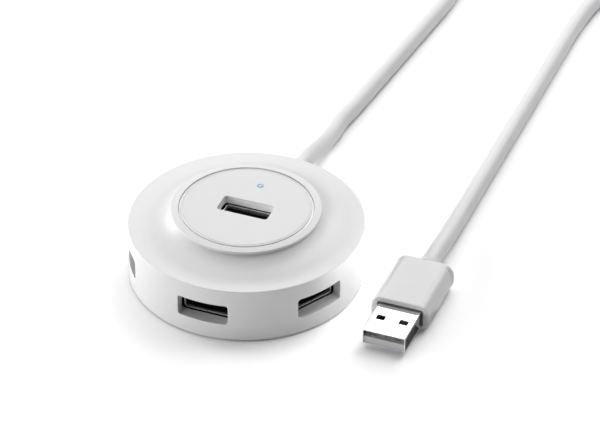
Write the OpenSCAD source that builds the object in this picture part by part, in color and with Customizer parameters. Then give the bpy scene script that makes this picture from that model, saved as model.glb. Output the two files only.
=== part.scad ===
// Round desktop USB hub with three side ports, one top port and a captive cable.
// Millimetres, +Z up. The origin is the centre of the base, on the surface that
// the hub stands on. The middle side port faces -Y and the cable leaves towards +Y.

/* [Housing] */
// Outer diameter of the round housing
hub_d = 64; // [63.5:0.1:66]
// Height of the sharp outer rim above the table
rim_h = 16.4; // [16.2:0.1:17]
// Height of the flat top face above the table
top_h = 21; // [20.8:0.1:21.6]
// Diameter of the raised collar
collar_d = 40.6; // [40:0.1:42]
// Diameter of the pocket that holds the top disc
pocket_d = 36.3; // [35.6:0.1:37]
// Wall thickness of the housing
wall = 2; // [1.8:0.1:2.2]
// Gap under the housing, which is how far the feet stand out
foot_gap = 0.5; // [0.3:0.1:0.8]

/* [Port windows] */
// Width of a side window
window_w = 14.2; // [13.6:0.1:14.6]
// Height of a side window
window_h = 6; // [5.6:0.1:6.2]
// Height of the lower edge of a side window above the table
window_z = 5.4; // [5.2:0.1:5.8]
// Corner radius of every window
window_r = 0.8; // [0.4:0.1:1.2]
// Width of the top window
top_window_w = 14.4; // [13.8:0.1:14.8]
// Depth of the top window, front to back
top_window_l = 6.4; // [6:0.1:6.8]
// Angle between neighbouring side ports
port_step = 60; // [58:1:66]

/* [Receptacles] */
// Outer width of a receptacle shell
shell_w = 13.1; // [12.9:0.1:13.3]
// Outer height of a receptacle shell
shell_h = 5.7; // [5.6:0.1:5.8]
// Length of a side receptacle
shell_l = 13; // [12:0.1:13.4]
// Sheet thickness of every shell
sheet = 0.3; // [0.2:0.05:0.35]
// Distance from the hub's axis to the mouth of a side receptacle
mouth_r = 28; // [27.8:0.1:28.2]
// Height of the mouth of the top receptacle
top_mouth_z = 18.5; // [18.2:0.1:18.6]

/* [Plug] */
// Width of the plug's metal shell
plug_w = 12; // [11.9:0.05:12.1]
// Height of the plug's metal shell
plug_h = 4.5; // [4.4:0.05:4.6]
// Length of the shell that stands out of the grip
plug_l = 12.4; // [11.8:0.1:13]
// Width of the moulded grip
grip_w = 16.4; // [16:0.1:18]
// Height of the moulded grip
grip_h = 8; // [7.8:0.1:9]
// Length of the moulded grip
grip_l = 20.5; // [19:0.1:24]

/* [Cable] */
// Outer diameter of the cable
cord_d = 5; // [4.8:0.1:5]
// Height of the cable outlet above the table
outlet_z = 7.5; // [7.2:0.1:7.8]
// Length of the bend relief outside the wall
relief_l = 7; // [6:0.5:8]

/* [Hidden] */

FINE = 96;
ROUND = 48;
SMALL = 24;
gap = 0.1;

// Housing
hub_r = hub_d / 2;
inner_r = hub_r - wall;
collar_r = collar_d / 2;
pocket_r = pocket_d / 2;
edge_r = 0.25;
neck_r = collar_r - 0.4;
neck_z = top_h - 1.15;
bezel_drop = 0.2;
collar_edge_z = top_h - 0.85;
disc_t = 1.8;
ledge_z = top_h - disc_t;
ledge_hole_r = 15;
ledge_t = 1.5;
frame_w = 17.4;
frame_depth = 3.6;
frame_t = 2.2;
frame_z0 = 3.4;
frame_z1 = 13.2;

// Base cover, feet and screws
base_t = 2;
base_top = foot_gap + base_t;
base_r = inner_r - 0.15;
lip_t = 1;
lip_h = 0.7;
foot_r = 4;
foot_pos_r = 22.5;
foot_sink = 0.6;
screw_pos_r = 25.5;
screw_angles = [-120, -60, 50, 130];
boss_r = 2.75;
boss_z = 3.4;
screw_pad_r = 4;
screw_head_r = 2.2;
screw_head_z = 0.8;
screw_seat_z = 2.2;
screw_shank_r = 1;
screw_top = 10;

// Circuit board
pcb_z = 4.15;
pcb_t = 1.6;
pcb_top = pcb_z + pcb_t;
pcb_r = 27.4;
post_r = 2;
post_pos_r = 18;
post_angles = [-120, -60, 60, 120];

// Ports: places and names run left, front, right, top
side_turns = [-port_step, 0, port_step];
tongue_w = 11.1;
tongue_t = 1.84;
tongue_back = 2;
block_l = 3;
leg_from_mouth = 5.5;
leg_w = 1.6;
pin_half = 0.3;
contact_t = 0.25;
contact_places = [-3.5, -1, 1, 3.5];
spring_places = [-3.2, 3.2];
top_port_y = -0.4;
top_shell_l = top_mouth_z - pcb_top;

// Indicator
led_y = 10.3;
pipe_r = 0.8;
led_h = 0.8;

// Cable outlet
outlet_r = 3.8;
gland_r = outlet_r - gap;
gland_tip_r = 2.9;
flange_r = 4.9;
flange_y0 = 27.8;
flange_t = 1.5;
stub_y = 22.5;
relief_end = hub_r + 0.5 + relief_l;
wire_r = 0.5;

// Plug: it lies on the table with its nose towards -Y
plug_x = 47.2;
nose_y = -21;
grip_y0 = nose_y + plug_l;
grip_y1 = grip_y0 + grip_l;
plug_mid_z = grip_h / 2;
grip_corner = 3.3;
boot_l = 5;
boot_end = grip_y1 + boot_l;
cord_r = cord_d / 2;

// Coil: three turns in a bundle, with the last half turn on the table outside it.
// A turn's place in the bundle is an angle round the outer lower turn.
coil_x = 18.2;
coil_y = 195.2;
coil_lift = 0.4;
turn_r = 29.5;
turn_pitch = 5.1;
turn_out = 35.7;
coil_z = cord_r + coil_lift;
tie_angle = 172;
tie_half = 4;
tie_t = 0.4;

// The stretches that are not coiled, as points along the cable's centre line
hub_route = [
    [0, 39.5, 7.5], [0, 42, 7.5], [0, 48, 6.6], [0, 54, 4.9], [0, 60, 3.4], [0, 66, 2.6],
    [0, 72, 2.5], [1, 80, 2.5], [2, 90, 2.5], [3, 100, 2.5], [4, 110, 2.5], [5, 120, 2.5], [6, 130, 2.5],
    [7, 140, 2.5], [7.1, 147.5, 2.5], [6, 154.8, 2.5], [3.7, 162, 2.5], [0.2, 168.6, 2.6]
];
plug_route = [
    [53.4, 186, 2.5], [52, 176, 2.5], [50, 165.5, 2.5], [48.1, 155, 2.5], [47.2, 144, 2.5],
    [47, 132, 2.5], [47, 120, 2.5], [47, 108, 2.5], [47, 96, 2.5], [47, 84, 2.5],
    [47, 72, 2.5], [47, 60, 2.5], [47, 49, 2.5], [47, 40, 2.5], [47.1, 32, 2.9],
    [47.2, 25, 3.6], [47.2, 19.5, 4], [47.2, 16.9, 4]
];
// The last half turn rolls down the bundle's outer side to the table
out_steps = 12;
out_from = 150;
out_down = 108;
out_route = [
    for (i = [0 : out_steps])
        let (
            a = out_from * (1 - i / out_steps),
            k = ease((180 - a) / out_down),
            place = 60 * (1 - k),
            r = turn_r + turn_pitch * cos(place) + (turn_out - turn_r - turn_pitch) * k,
            z = coil_z + turn_pitch * sin(place) - coil_lift * k
        )
        [coil_x + r * cos(a), coil_y + r * sin(a), z]
];

// --- helpers -----------------------------------------------------------------

function ease(t) = t <= 0 ? 0 : t >= 1 ? 1 : t * t * (3 - 2 * t);
function unit(v) = v / norm(v);
function heading(p, i) = unit(p[min(i + 1, len(p) - 1)] - p[max(i - 1, 0)]);
function flat(lists) = [for (l = lists) for (e = l) e];

// Hollow sweep from the rim up to the neck, level where it meets the rim and steepest at the neck
cove_w = hub_r - edge_r - neck_r;
cove_h = neck_z - rim_h;
cove_power = 3.2;
function cove_z(r) = rim_h + cove_h * pow((hub_r - edge_r - r) / cove_w, cove_power);

// A rectangle with round corners, made of exact squares and circles
module round_rect(w, h, r) {
    union() {
        square([w - 2 * r, h], center = true);
        square([w, h - 2 * r], center = true);
        for (sx = [-1, 1])
            for (sy = [-1, 1])
                translate([sx * (w / 2 - r), sy * (h / 2 - r)])
                    circle(r, $fn = SMALL);
    }
}

// A prism with round corners whose axis runs along +Y from y0 to y1
module bar_y(w, h, r, y0, y1) {
    translate([0, y1, 0])
        rotate([90, 0, 0])
            linear_extrude(y1 - y0)
                round_rect(w, h, r);
}

// Ten-sided tube along a list of points, none of which may run along ref
tube_sides = 10;
module tube(points, r, ref = [0, 0, 1]) {
    rings = [
        for (i = [0 : len(points) - 1])
            let (
                t = heading(points, i),
                side = unit(cross(t, ref)),
                up = cross(side, t)
            )
            [for (k = [0 : tube_sides - 1])
                points[i] + r * cos(360 * k / tube_sides) * side + r * sin(360 * k / tube_sides) * up]
    ];
    last = (len(points) - 1) * tube_sides;
    walls = [
        for (i = [0 : len(points) - 2])
            for (k = [0 : tube_sides - 1])
                let (n = (k + 1) % tube_sides, b = i * tube_sides, c = b + tube_sides)
                each [[b + k, c + k, c + n], [b + k, c + n, b + n]]
    ];
    polyhedron(
        flat(rings),
        concat(
            [[for (k = [0 : tube_sides - 1]) k]],
            walls,
            [[for (k = [tube_sides - 1 : -1 : 0]) last + k]]
        )
    );
}

// Puts children at an angle and a distance round the hub's axis
module at(angle, radius) {
    rotate([0, 0, angle])
        translate([radius, 0, 0])
            children();
}

// --- casing ------------------------------------------------------------------

cove_steps = 14;
inner_steps = 6;
lip_bevel = 0.15;
module housing_profile() {
    polygon(concat(
        [
            [inner_r, foot_gap],
            [hub_r - edge_r, foot_gap],
            [hub_r, foot_gap + edge_r],
            [hub_r, rim_h - edge_r]
        ],
        [
            for (i = [0 : cove_steps])
                let (r = hub_r - edge_r - cove_w * i / cove_steps)
                [r, cove_z(r)]
        ],
        [
            [collar_r - lip_bevel, collar_edge_z - lip_bevel],
            [collar_r, collar_edge_z],
            [collar_r, top_h - bezel_drop - lip_bevel],
            [collar_r - lip_bevel, top_h - bezel_drop],
            [pocket_r + lip_bevel, top_h],
            [pocket_r, top_h - lip_bevel],
            [pocket_r, ledge_z],
            [ledge_hole_r, ledge_z],
            [ledge_hole_r, ledge_z - ledge_t],
            [neck_r, ledge_z - ledge_t]
        ],
        [
            for (i = [1 : inner_steps])
                let (r = neck_r + (inner_r - neck_r) * i / inner_steps)
                [r, cove_z(r) - wall]
        ]
    ));
}

module side_window() {
    translate([0, 0, window_z + window_h / 2])
        bar_y(window_w, window_h, window_r, -hub_r - 1, -hub_r + frame_depth + 2);
}

module port_frame() {
    translate([-frame_w / 2, -hub_r + frame_depth - frame_t, frame_z0])
        cube([frame_w, frame_t, frame_z1 - frame_z0]);
}

module upper_housing() {
    color("white")
        difference() {
            union() {
                rotate_extrude($fn = FINE) housing_profile();
                for (a = side_turns)
                    rotate([0, 0, a])
                        intersection() {
                            port_frame();
                            cylinder(h = rim_h, r = hub_r - wall / 2, $fn = FINE);
                        }
                for (a = screw_angles)
                    at(a, screw_pos_r)
                        translate([0, 0, boss_z])
                            cylinder(h = rim_h - boss_z, r = boss_r, $fn = ROUND);
            }
            for (a = side_turns)
                rotate([0, 0, a]) side_window();
            for (a = screw_angles)
                at(a, screw_pos_r)
                    translate([0, 0, boss_z - 1])
                        cylinder(h = screw_top - boss_z + 2, r = screw_shank_r, $fn = SMALL);
            translate([0, hub_r - wall - 1, outlet_z])
                rotate([-90, 0, 0])
                    cylinder(h = wall + 2, r = outlet_r, $fn = ROUND);
        }
}

disc_r = pocket_r - 0.35;
sleeve_wall = 1;
sleeve_z = top_mouth_z + 0.2;
module top_disc() {
    color("whitesmoke")
        difference() {
            union() {
                translate([0, 0, ledge_z])
                    cylinder(h = disc_t - lip_bevel, r = disc_r, $fn = FINE);
                translate([0, 0, top_h - lip_bevel])
                    cylinder(h = lip_bevel, r1 = disc_r, r2 = disc_r - lip_bevel, $fn = FINE);
                translate([0, top_port_y, sleeve_z])
                    linear_extrude(top_h - sleeve_z - 0.5)
                        round_rect(top_window_w + 2 * sleeve_wall, top_window_l + 2 * sleeve_wall, 1.4);
                translate([0, 0, ledge_z - 1])
                    difference() {
                        cylinder(h = 1.2, r = ledge_hole_r - gap, $fn = FINE);
                        translate([0, 0, -1])
                            cylinder(h = 3, r = ledge_hole_r - 1.2, $fn = FINE);
                    }
            }
            translate([0, top_port_y, sleeve_z - 1])
                linear_extrude(top_h)
                    round_rect(top_window_w, top_window_l, window_r);
            translate([0, led_y, ledge_z - 3])
                cylinder(h = disc_t + 4, r = pipe_r + 0.05, $fn = SMALL);
        }
}

module base_cover() {
    color("gainsboro")
        difference() {
            union() {
                translate([0, 0, foot_gap])
                    cylinder(h = base_t, r = base_r, $fn = FINE);
                translate([0, 0, base_top])
                    difference() {
                        cylinder(h = lip_h, r = base_r - 0.3, $fn = FINE);
                        translate([0, 0, -1])
                            cylinder(h = lip_h + 2, r = base_r - 0.3 - lip_t, $fn = FINE);
                        translate([0, hub_r - 4, 0])
                            cube([2 * flange_r + 1, 8, 4], center = true);
                    }
                for (a = screw_angles)
                    at(a, screw_pos_r)
                        translate([0, 0, foot_gap])
                            cylinder(h = boss_z - foot_gap, r = screw_pad_r, $fn = ROUND);
                for (a = post_angles)
                    at(a, post_pos_r)
                        translate([0, 0, foot_gap])
                            cylinder(h = pcb_z - foot_gap, r = post_r, $fn = ROUND);
            }
            for (a = screw_angles)
                at(a, screw_pos_r) {
                    translate([0, 0, -1])
                        cylinder(h = screw_seat_z + 1, r = screw_head_r + 0.3, $fn = ROUND);
                    cylinder(h = 6, r = screw_shank_r + 0.2, $fn = SMALL);
                }
            for (a = [-90, 0, 90, 180])
                at(a, foot_pos_r)
                    translate([0, 0, foot_gap - 1])
                        cylinder(h = foot_sink + 1, r = foot_r + 0.1, $fn = ROUND);
        }
}

module foot(angle) {
    color("dimgray")
        at(angle, foot_pos_r) {
            cylinder(h = 0.25, r1 = foot_r - 0.25, r2 = foot_r, $fn = ROUND);
            translate([0, 0, 0.25])
                cylinder(h = foot_gap + foot_sink - 0.25, r = foot_r, $fn = ROUND);
        }
}

module screw() {
    difference() {
        union() {
            translate([0, 0, screw_head_z])
                cylinder(h = screw_seat_z - screw_head_z, r = screw_head_r, $fn = ROUND);
            translate([0, 0, screw_seat_z])
                cylinder(h = screw_top - screw_seat_z, r = screw_shank_r, $fn = SMALL);
        }
        for (a = [0, 90])
            rotate([0, 0, a])
                translate([-1.2, -0.25, screw_head_z - 1])
                    cube([2.4, 0.5, 1.7]);
    }
}

module base_screws() {
    color("silver")
        for (a = screw_angles)
            at(a, screw_pos_r) screw();
}

// --- receptacles -------------------------------------------------------------
// Every receptacle is drawn with its mouth at y = 0, its cavity running to +Y,
// its seam wall on z = 0 and its tongue near the opposite wall.

// Spring leaf in the seam wall that bulges into the cavity
leaf_w = 1.8;
leaf_root = 6.6;
leaf_tip = 2.6;
leaf_rise = 0.55;
module shell_leaf(x) {
    translate([x - leaf_w / 2, 0, 0])
        rotate([90, 0, 90])
            linear_extrude(leaf_w)
                polygon([
                    [leaf_root, 0], [leaf_root, sheet],
                    [leaf_tip + 1, sheet + leaf_rise], [leaf_tip, sheet + 0.2],
                    [leaf_tip, sheet], [leaf_tip + 0.9, sheet + 0.25], [leaf_tip + 1.6, 0]
                ]);
}

module receptacle_shell(l) {
    color("silver") {
        difference() {
            translate([0, 0, shell_h / 2])
                difference() {
                    bar_y(shell_w, shell_h, 0.9, 0, l);
                    bar_y(shell_w - 2 * sheet, shell_h - 2 * sheet, 0.6, -1, l + 1);
                }
            // Seam down the middle of the lower wall
            translate([-0.1, -1, -1])
                cube([0.2, l - 3, 1 + sheet * 1.5]);
            // Windows that free the spring leaves
            for (x = spring_places)
                translate([x - leaf_w / 2 - 0.3, leaf_tip - 0.4, -1])
                    cube([leaf_w + 0.6, leaf_root - leaf_tip + 0.3, 1 + sheet * 1.5]);
            // Notch that lets the contact tails reach the board
            translate([-5, l - block_l, -1])
                cube([10, block_l + 1, 1 + sheet * 1.5]);
        }
        for (x = spring_places)
            shell_leaf(x);
    }
}

module shell_legs() {
    color("silver")
        for (s = [-1, 1])
            translate([s * (shell_w / 2 - sheet / 2) - sheet / 2, leg_from_mouth, pcb_z - pcb_top - 0.5])
                cube([sheet, leg_w, pcb_t + 0.5 + 1]);
}

module receptacle_tongue(l) {
    color("white")
        translate([0, 0, sheet])
            difference() {
                union() {
                    translate([0, 0, shell_h / 2 - sheet])
                        bar_y(shell_w - 2 * sheet, shell_h - 2 * sheet, 0.7, l - block_l, l);
                    translate([-tongue_w / 2, tongue_back, 2.9])
                        cube([tongue_w, l - tongue_back - block_l / 2, tongue_t]);
                }
                // Slots for the tails
                for (x = contact_places)
                    translate([x - 0.5 - gap, l - 1.4, -1])
                        cube([1 + 2 * gap, 3, 3.9 + gap]);
            }
}

module receptacle_contacts(l, tail) {
    color("gold")
        for (x = contact_places) {
            translate([x - 0.5, tongue_back + 1, sheet + 2.9 - contact_t])
                cube([1, l - tongue_back - 1 - block_l, contact_t]);
            translate([x - pin_half, l - 1, -tail])
                cube([2 * pin_half, 2 * pin_half, tail + 2.5]);
        }
}

module place_side(turn) {
    rotate([0, 0, turn])
        translate([0, -mouth_r, pcb_top])
            children();
}

module place_top() {
    translate([0, top_port_y, top_mouth_z])
        rotate([-90, 0, 180])
            translate([0, 0, -shell_h / 2])
                children();
}

module side_shell(turn) {
    place_side(turn) {
        receptacle_shell(shell_l);
        shell_legs();
    }
}

module side_tongue(turn) {
    place_side(turn) receptacle_tongue(shell_l);
}

module side_contacts(turn) {
    place_side(turn) receptacle_contacts(shell_l, pcb_t + 0.6);
}

module top_shell() {
    place_top() receptacle_shell(top_shell_l);
}

module top_tongue() {
    place_top() receptacle_tongue(top_shell_l);
}

module top_contacts() {
    place_top() receptacle_contacts(top_shell_l, 0);
}

// --- electronics -------------------------------------------------------------

module main_pcb() {
    color("seagreen")
        difference() {
            translate([0, 0, pcb_z])
                cylinder(h = pcb_t, r = pcb_r, $fn = FINE);
            for (a = screw_angles)
                at(a, screw_pos_r)
                    cylinder(h = 10, r = boss_r + 0.35, $fn = ROUND);
            for (a = side_turns)
                place_side(a)
                    for (s = [-1, 1])
                        translate([s * (shell_w / 2 - sheet / 2), leg_from_mouth + leg_w / 2, -pcb_t / 2])
                            cube([1, leg_w + 0.6, pcb_t + 2], center = true);
            for (a = side_turns)
                place_side(a)
                    for (x = contact_places)
                        translate([x, shell_l - 1 + pin_half, -5])
                            cylinder(h = 10, r = 0.55, $fn = SMALL);
            // Notch that lets the cable in
            translate([-cord_r - 0.6, stub_y - 0.5, 0])
                cube([2 * cord_r + 1.2, 10, 10]);
        }
}

module light_pipe() {
    color([0.8, 0.93, 1, 0.8]) {
        translate([0, led_y, pcb_top + led_h + gap])
            cylinder(h = top_h - pcb_top - led_h - gap, r = pipe_r, $fn = SMALL);
        translate([0, led_y, ledge_z - 1.3])
            cylinder(h = 1.2, r = 1.5, $fn = SMALL);
    }
}

module power_led() {
    color("lightskyblue")
        translate([-1, led_y - 0.6, pcb_top])
            cube([2, 1.2, led_h]);
}

chip_at = [-10, 12.3];
chip_body = [10, 5.3, 1.6];
chip_stand = 0.15;
chip_leads = 12;
chip_lead_pitch = 0.72;
chip_lead = [0.35, 1.5, 0.4];
module hub_chip() {
    color("dimgray")
        translate([chip_at.x, chip_at.y, pcb_top]) {
            translate([-chip_body.x / 2, -chip_body.y / 2, chip_stand])
                cube(chip_body);
            for (i = [0 : chip_leads - 1])
                for (s = [-1, 1])
                    translate([(i - (chip_leads - 1) / 2) * chip_lead_pitch, s * 3.15, chip_lead.z / 2])
                        cube(chip_lead, center = true);
        }
}

crystal_at = [9.5, 5.6];
crystal_w = 9;
crystal_h = 3.8;
crystal_l = 4;
module crystal() {
    color("silver")
        translate([crystal_at.x, crystal_at.y, pcb_top + crystal_h / 2])
            bar_y(crystal_w, crystal_h, 1.8, 0, crystal_l);
}

capacitor_at = [11, 14.2];
capacitor_r = 3.1;
capacitor_h = 7;
capacitor_foot = 6.6;
module bulk_capacitor() {
    color("lightgray")
        translate([capacitor_at.x, capacitor_at.y, pcb_top]) {
            cylinder(h = capacitor_h, r = capacitor_r, $fn = ROUND);
            translate([-capacitor_foot / 2, -capacitor_foot / 2, 0])
                cube([capacitor_foot, capacitor_foot, 0.8]);
        }
}

module chips(places, size) {
    for (p = places)
        translate([p[0], p[1], pcb_top])
            cube(size);
}

module chip_capacitors() {
    color("tan")
        chips(
            [[-18.5, 8], [-18.5, 11], [-18.5, 14], [-3.6, 16.4], [-3.6, 14], [4, 12.6], [4, 15.4]],
            [2, 1.2, 0.9]
        );
}

module chip_resistors() {
    color("black")
        chips(
            [[-14, 5.8], [-11.4, 5.8], [-8.8, 5.8], [-6.2, 5.8], [3.4, 9.9], [-17, 4.4]],
            [1.6, 0.9, 0.5]
        );
}

module resettable_fuses() {
    color("forestgreen")
        chips([[18, 3], [18, 7.5], [-23, 2], [-23, 6.5]], [3.2, 2.6, 1]);
}

// --- cable -------------------------------------------------------------------

module cable_gland() {
    color("white")
        translate([0, 0, outlet_z])
            rotate([-90, 0, 0])
                rotate_extrude($fn = ROUND)
                    polygon([
                        [0, flange_y0], [flange_r, flange_y0], [flange_r, flange_y0 + flange_t],
                        [gland_r, flange_y0 + flange_t], [gland_r, hub_r + 0.5],
                        [gland_tip_r, relief_end], [0, relief_end]
                    ]);
}

module cable_stub() {
    color("white")
        translate([0, stub_y, outlet_z])
            rotate([-90, 0, 0])
                cylinder(h = flange_y0 - stub_y, r = cord_r, $fn = ROUND);
}

// One insulated core from the cable stub down to its pad on the board
module core(x0, z0, x1) {
    tube(
        [
            [x0, stub_y, outlet_z + z0],
            [x0, stub_y - 0.8, outlet_z + z0],
            [x0 + (x1 - x0) * 0.4, stub_y - 2, outlet_z + z0],
            [x0 + (x1 - x0) * 0.9, stub_y - 3.3, outlet_z + z0 / 2 - 0.3],
            [x1, stub_y - 4, pcb_top + 0.8],
            [x1, stub_y - 4, pcb_top]
        ],
        wire_r,
        [1, 0, 0]
    );
}

module cord_hub_run() {
    color("white") tube(hub_route, cord_r);
}

module coil_outline(extra) {
    offset(r = extra)
        hull() {
            translate([turn_r, coil_z]) circle(cord_r, $fn = 16);
            for (a = [60, 120, 180])
                translate([turn_r + turn_pitch * cos(a), coil_z + turn_pitch * sin(a)])
                    circle(cord_r, $fn = 16);
        }
}

module cord_coil() {
    color("white")
        translate([coil_x, coil_y, 0])
            rotate_extrude($fn = FINE) coil_outline(0);
}

module cord_tie() {
    color("dimgray")
        translate([coil_x, coil_y, 0])
            rotate([0, 0, tie_angle - tie_half])
                rotate_extrude(angle = 2 * tie_half, $fn = FINE)
                    difference() {
                        coil_outline(tie_t);
                        coil_outline(0);
                    }
}

module cord_plug_run() {
    color("white") tube(concat(out_route, plug_route), cord_r);
}

// --- plug --------------------------------------------------------------------

module place_plug() {
    translate([plug_x, 0, plug_mid_z])
        children();
}

boot_r = 3.9;
boot_neck_r = 3;
boot_tip_r = 2.8;
module plug_boot() {
    color("white")
        place_plug()
            rotate([-90, 0, 0])
                rotate_extrude($fn = ROUND)
                    polygon([
                        [0, grip_y1], [boot_r, grip_y1], [boot_r - 0.5, grip_y1 + 1],
                        [boot_neck_r, grip_y1 + 2.4], [boot_tip_r, boot_end], [0, boot_end]
                    ]);
}

groove_w = 0.5;
cap_l = 1.5;
module plug_grip() {
    color("white")
        place_plug()
            difference() {
                union() {
                    bar_y(grip_w, grip_h, grip_corner, grip_y0, grip_y1 - 0.4);
                    bar_y(grip_w - 0.8, grip_h - 0.8, grip_corner - 0.4, grip_y0 + 1, grip_y1);
                }
                // Groove in front of the end ring
                difference() {
                    bar_y(grip_w + 2, grip_h + 2, grip_corner, grip_y1 - cap_l - groove_w, grip_y1 - cap_l);
                    bar_y(grip_w - 0.8, grip_h - 0.8, grip_corner - 0.4, grip_y0, grip_y1);
                }
                // Mouth around the metal shell, and the pocket behind it
                bar_y(plug_w + 0.9, plug_h + 0.8, 0.7, grip_y0 - 1, grip_y0 + 1.6);
                bar_y(plug_w, plug_h, 0.45, grip_y0, grip_y0 + 7);
            }
}

hole_w = 2.45;
hole_l = 2;
hole_pitch = 6.4;
hole_from_nose = 5.5;
module plug_shell() {
    color("silver")
        place_plug()
            difference() {
                bar_y(plug_w, plug_h, 0.45, nose_y, grip_y0 + 7);
                bar_y(plug_w - 2 * sheet, plug_h - 2 * sheet, 0.2, nose_y - 1, grip_y0 + 8);
                for (s = [-1, 1])
                    translate([s * hole_pitch / 2, nose_y + hole_from_nose + hole_l / 2, 0])
                        cube([hole_w, hole_l, plug_h + 2], center = true);
                translate([-0.05, nose_y - 1, -plug_h])
                    cube([0.1, plug_l + 2, plug_h]);
            }
}

insulator_t = 1.95;
insulator_back = 6.5;
module plug_insulator() {
    color("lightgray")
        place_plug()
            translate([0, 0, sheet + insulator_t / 2 - plug_h / 2])
                bar_y(plug_w - 2 * sheet, insulator_t, 0.25, nose_y + 0.3, grip_y0 + insulator_back);
}

module plug_contacts() {
    color("gold")
        place_plug()
            for (i = [0 : 3])
                let (reach = (i == 0 || i == 3) ? 0.9 : 1.9)
                translate([contact_places[i] - 0.5, nose_y + reach, -(plug_h / 2 - sheet) + insulator_t])
                    cube([1, plug_l + insulator_back - reach, contact_t]);
}

// --- nodes -------------------------------------------------------------------

upper_housing();
top_disc();
base_cover();
foot(-90);  // foot_front
foot(0);  // foot_right
foot(90);  // foot_back
foot(180);  // foot_left
base_screws();
main_pcb();
light_pipe();
power_led();
side_shell(side_turns[0]);  // port_left_shell
side_tongue(side_turns[0]);  // port_left_tongue
side_contacts(side_turns[0]);  // port_left_contacts
side_shell(side_turns[1]);  // port_front_shell
side_tongue(side_turns[1]);  // port_front_tongue
side_contacts(side_turns[1]);  // port_front_contacts
side_shell(side_turns[2]);  // port_right_shell
side_tongue(side_turns[2]);  // port_right_tongue
side_contacts(side_turns[2]);  // port_right_contacts
top_shell();  // port_top_shell
top_tongue();  // port_top_tongue
top_contacts();  // port_top_contacts
hub_chip();
crystal();
bulk_capacitor();
chip_capacitors();
chip_resistors();
resettable_fuses();
cable_gland();
cable_stub();
color("red") core(-1, 0.7, -4.5);  // wire_red
color("white") core(-1, -0.7, -1.5);  // wire_white
color("green") core(1, -0.7, 1.5);  // wire_green
color("black") core(1, 0.7, 4.5);  // wire_black
cord_hub_run();
cord_coil();
cord_tie();
cord_plug_run();
plug_boot();
plug_grip();
plug_shell();
plug_insulator();
plug_contacts();
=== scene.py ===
"""Looks of a round desktop USB hub with a captive cable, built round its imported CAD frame.

Shapes are written in millimetres, in the CAD's own frame. build() and make_cable() turn
them into metres. Lights and the floor are in metres.
"""

import math

import bmesh
import bpy
from mathutils import Matrix, Vector
from mathutils.geometry import delaunay_2d_cdt


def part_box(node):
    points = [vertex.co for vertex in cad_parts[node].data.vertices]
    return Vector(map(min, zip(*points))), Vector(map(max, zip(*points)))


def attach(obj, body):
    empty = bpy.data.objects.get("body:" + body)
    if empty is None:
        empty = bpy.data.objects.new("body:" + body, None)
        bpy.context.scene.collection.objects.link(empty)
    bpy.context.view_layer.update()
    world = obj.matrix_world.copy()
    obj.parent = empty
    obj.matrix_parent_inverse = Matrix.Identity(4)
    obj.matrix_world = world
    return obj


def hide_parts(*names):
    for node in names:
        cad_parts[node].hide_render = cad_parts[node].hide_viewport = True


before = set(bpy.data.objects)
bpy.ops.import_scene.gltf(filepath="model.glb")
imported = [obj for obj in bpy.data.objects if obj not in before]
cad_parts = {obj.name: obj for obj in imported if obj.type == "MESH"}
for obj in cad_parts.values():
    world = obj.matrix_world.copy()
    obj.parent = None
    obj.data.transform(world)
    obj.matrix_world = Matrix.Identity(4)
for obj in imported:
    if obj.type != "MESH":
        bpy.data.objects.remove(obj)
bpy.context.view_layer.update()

MM = 0.001


def cad_corners(node):
    """Lowest and highest corner of a CAD node, in millimetres."""
    low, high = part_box(node)
    return low / MM, high / MM


def add_object(name, data):
    made = bpy.data.objects.new(name, data)
    bpy.context.scene.collection.objects.link(made)
    return made


# --- driving sizes, from the frame where a node's box gives them ----------------

housing_low, housing_high = cad_corners("upper_housing")
HUB_R = housing_high.y
FOOT_GAP = housing_low.z
TOP_Z = housing_high.z
RIM_Z, RIM_ROUND = 16.4, 0.3
INNER_R = 30.0
ROOF_THICKNESS = 2.0
NECK_R, NECK_Z = 19.9, TOP_Z - 1.15
COVE_POWER = 3.2
COLLAR_R, COLLAR_EDGE_Z = 20.3, TOP_Z - 0.85
BEZEL_DROP = 0.2
POCKET_R = 18.15
LEDGE_HOLE_R, LEDGE_Z = 15.0, TOP_Z - 1.8
LEDGE_UNDER_Z = LEDGE_Z - 1.5
SCREW_POS_R, SCREW_ANGLES = 25.5, (-120, -60, 50, 130)
BOSS_R, BOSS_HOLE_R, BOSS_EDGE = 2.75, 1.0, 0.1
BOSS_LOW_Z, BOSS_HOLE_TOP_Z, BOSS_TOP_Z = 3.4, 11.0, 15.0

WINDOW_W, WINDOW_H, WINDOW_Z, WINDOW_CORNER = 14.2, 6.0, 8.4, 0.8
WINDOW_LIP = 0.18
FRAME_W, FRAME_H, FRAME_Z, FRAME_CORNER, FRAME_DEPTH = 17.4, 9.8, 8.3, 0.3, 3.6
PORT_TURNS = (-60, 0, 60)
SIDE_MOUTH_R, TOP_MOUTH_Z = 28.0, 18.5

DISC_R, DISC_EDGE = 17.8, 0.25
DISC_FLAT_R = 17.1
DISC_SKIRT_R = POCKET_R - 0.03
TOP_WINDOW_W, TOP_WINDOW_L, TOP_WINDOW_Y, TOP_WINDOW_LIP = 14.4, 6.4, -0.4, 0.16
TOP_SLEEVE_Z, SLEEVE_WALL = 18.7, 1.0
LED_Y, PIPE_R, PIPE_LIP = 10.3, 0.8, 0.08
FLANGE_R, FLANGE_LOW_Z, FLANGE_HIGH_Z, FLANGE_EDGE = 1.5, 18, 19, 0.05

OUTLET_R, OUTLET_Z, OUTLET_LIP = 3.8, 7.5, 0.15
CORD_D = 5.0

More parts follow.
